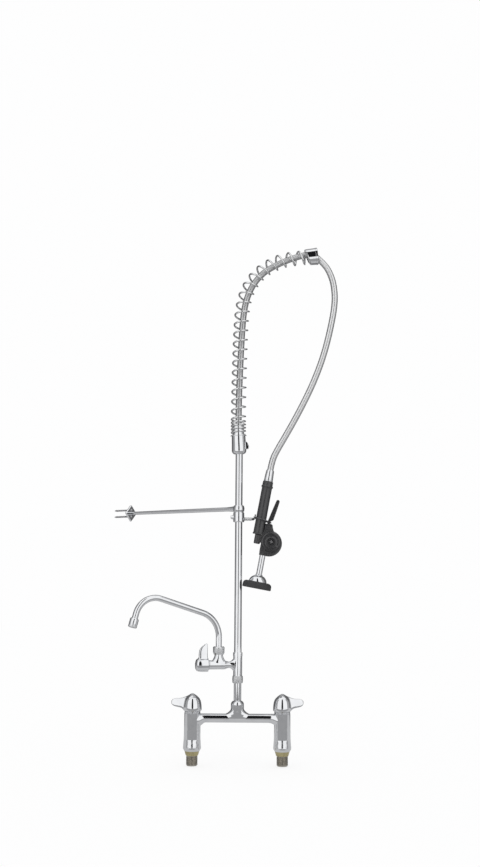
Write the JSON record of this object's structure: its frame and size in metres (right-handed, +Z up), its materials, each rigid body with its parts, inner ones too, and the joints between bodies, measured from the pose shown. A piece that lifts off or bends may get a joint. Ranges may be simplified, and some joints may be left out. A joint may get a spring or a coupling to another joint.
{
  "type": "pre-rinse faucet",
  "caption": "Deck-mounted mixing faucet with lever handles, swing nozzle, riser, wall bracket, finger hook and an overhead spring carrying a hose with an angled squeeze spray valve.",
  "frame": {"origin": "on the deck, midway between the two inlet shanks, where the legs stand", "axes": "+Z up along the riser, +X from the hot (left) leg to the cold (right) leg, -Y towards the user"},
  "size_m": [0.5506, 0.3146, 1.2111],
  "materials": {
    "chrome": "polished chrome plate on brass",
    "steel": "machined stainless steel",
    "spring_steel": "bright drawn wire",
    "hose_steel": "strip-wound stainless steel over a lined bore",
    "raw_brass": "machined, unplated",
    "ceramic": "ground ceramic",
    "black_plastic": "black moulded, fine texture",
    "black_rubber": "black moulded rubber",
    "seal": "flat seal"
  },
  "bodies": {
    "faucet": {"mixing_body": "chrome", "hot_bonnet": "chrome", "cold_bonnet": "chrome", "addon_bonnet": "chrome", "riser_nipple": "chrome", "union_nut": "chrome", "addon_body": "chrome", "nozzle_nut": "chrome", "riser_pipe": "chrome", "hook_clamp": "chrome", "finger_hook": "chrome", "spring_collar": "chrome", "hose_sleeve": "chrome", "arch_end_cup": "chrome", "hose_ferrule": "chrome", "outlet_tube": "chrome", "spray_cup": "chrome", "clamp_set_screws": "steel", "cover_screw": "steel", "lever_pin": "steel", "return_spring": "steel", "spray_plate": "steel", "grip_tube": "steel", "hold_open_ring": "steel", "overhead_spring": "spring_steel", "hose_inside_spring": "hose_steel", "spray_hose": "hose_steel", "hot_inlet_shank": "raw_brass", "cold_inlet_shank": "raw_brass", "locating_rings": "raw_brass", "cartridge_housings": "raw_brass", "fixed_ceramic_discs": "ceramic", "grip_sleeve": "black_plastic", "spray_valve_body": "black_plastic", "valve_cover": "black_plastic", "hook_tip_cover": "black_plastic", "rubber_bumper": "black_rubber", "union_washer": "seal", "nozzle_packing": "seal"},
    "hot_valve": {"hot_handle": "chrome", "hot_stem": "raw_brass", "hot_moving_disc": "ceramic", "hot_handle_screw": "steel"},
    "cold_valve": {"cold_handle": "chrome", "cold_stem": "raw_brass", "cold_moving_disc": "ceramic", "cold_handle_screw": "steel"},
    "addon_valve": {"addon_handle": "chrome", "addon_stem": "raw_brass", "addon_moving_disc": "ceramic", "addon_handle_screw": "steel"},
    "nozzle": {"swing_nozzle": "chrome", "aerator_shell": "chrome", "aerator_insert": "black_plastic"},
    "wall_bracket_assembly": {"wall_bracket": "chrome", "wall_flange": "chrome", "wall_screws": "steel", "bracket_set_screw": "steel"},
    "spray_lever": {"squeeze_lever": "black_plastic"},
    "spray_valve_stem": {"valve_plunger": "raw_brass"}
  },
  "joints": [
    {"name": "hot_handle_turn", "type": "hinge", "parent": "faucet", "child": "hot_valve", "pos_m": [-0.1016, 0, 0.083], "axis": [0, 0, 1], "range_deg": [0, 90]},
    {"name": "cold_handle_turn", "type": "hinge", "parent": "faucet", "child": "cold_valve", "pos_m": [0.1016, 0, 0.083], "axis": [0, 0, -1], "range_deg": [0, 90]},
    {"name": "addon_handle_turn", "type": "hinge", "parent": "faucet", "child": "addon_valve", "pos_m": [-0.06303, -0.01111, 0.19], "axis": [0.9848, 0.1736, 0], "range_deg": [0, 90]},
    {"name": "nozzle_swing", "type": "hinge", "parent": "faucet", "child": "nozzle", "pos_m": [-0.04333, -0.00764, 0.2126], "axis": [0, 0, 1], "range_deg": [-165, 135]},
    {"name": "wall_bracket_swivel", "type": "hinge", "parent": "faucet", "child": "wall_bracket_assembly", "pos_m": [0, 0, 0.545], "axis": [0, 0, 1], "range_deg": [-60, 60]},
    {"name": "spray_lever_squeeze", "type": "hinge", "parent": "faucet", "child": "spray_lever", "pos_m": [0.07475, 0, 0.50531], "axis": [0, -1, 0], "range_deg": [0, 12], "stiffness_Nm_per_rad": 1.2, "springref_deg": -8.59},
    {"name": "spray_valve_stem_slide", "type": "slide", "parent": "faucet", "child": "spray_valve_stem", "axis": [-0.1805, 0, -0.9836], "range_m": [0, 0.0014]}
  ],
  "couplings": [
    {"joint": "spray_valve_stem_slide", "follows": "spray_lever_squeeze", "m_per_rad": 0.0065}
  ]
}
